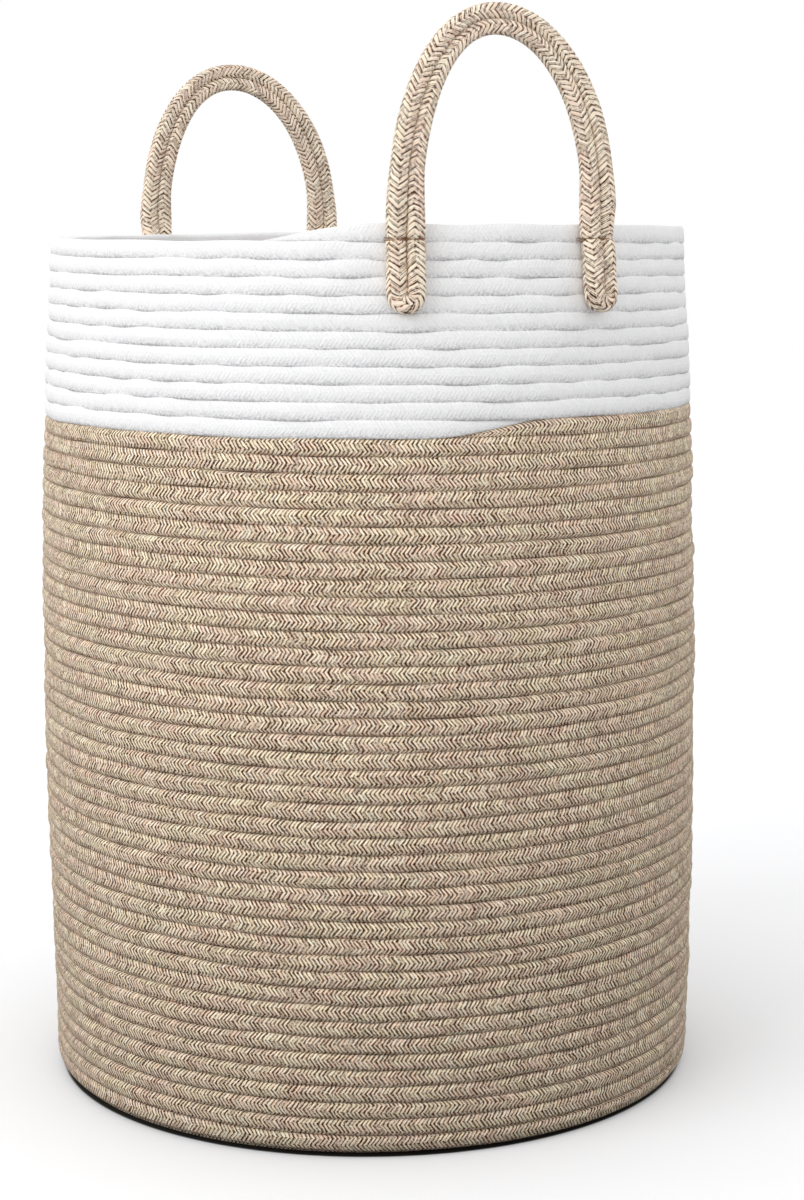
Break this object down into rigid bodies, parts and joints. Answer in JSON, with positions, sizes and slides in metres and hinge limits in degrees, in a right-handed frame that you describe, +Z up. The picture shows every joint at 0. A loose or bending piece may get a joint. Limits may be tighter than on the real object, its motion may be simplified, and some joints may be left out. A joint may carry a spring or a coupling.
{
  "type": "laundry hamper",
  "caption": "Tall round open laundry hamper coiled from braided cotton rope, beige below and white above, with two upright rope loop handles.",
  "frame": {"origin": "centre of the underside of the base, on the floor", "axes": "+Z up along the hamper's axis; the front handle stands at -Y"},
  "size_m": [0.4, 0.4, 0.6288],
  "materials": {
    "beige_rope": "braided cotton, heather beige and brown, matt",
    "white_rope": "braided cotton, white, matt and slightly fuzzy",
    "thread": "twisted sewing thread, tan"
  },
  "bodies": {
    "basket": {"base_coil": "beige_rope", "wall_coil_beige": "beige_rope", "wall_coil_white": "white_rope", "front_leg_left": "beige_rope", "front_leg_right": "beige_rope", "front_tack_left": "thread", "front_tack_right": "thread", "back_leg_left": "beige_rope", "back_leg_right": "beige_rope", "back_tack_left": "thread", "back_tack_right": "thread"},
    "front_handle": {"front_handle_outer_strand": "beige_rope", "front_handle_inner_strand": "beige_rope"},
    "back_handle": {"back_handle_outer_strand": "beige_rope", "back_handle_inner_strand": "beige_rope"}
  },
  "joints": [
    {"name": "front_handle_bend", "type": "hinge", "parent": "basket", "child": "front_handle", "pos_m": [0, -0.18739, 0.5219], "axis": [1, 0, 0], "range_deg": [-90, 150]},
    {"name": "back_handle_bend", "type": "hinge", "parent": "basket", "child": "back_handle", "pos_m": [-0.01432, 0.18609, 0.51675], "axis": [-0.9971, -0.0767, 0], "range_deg": [-90, 150]}
  ]
}
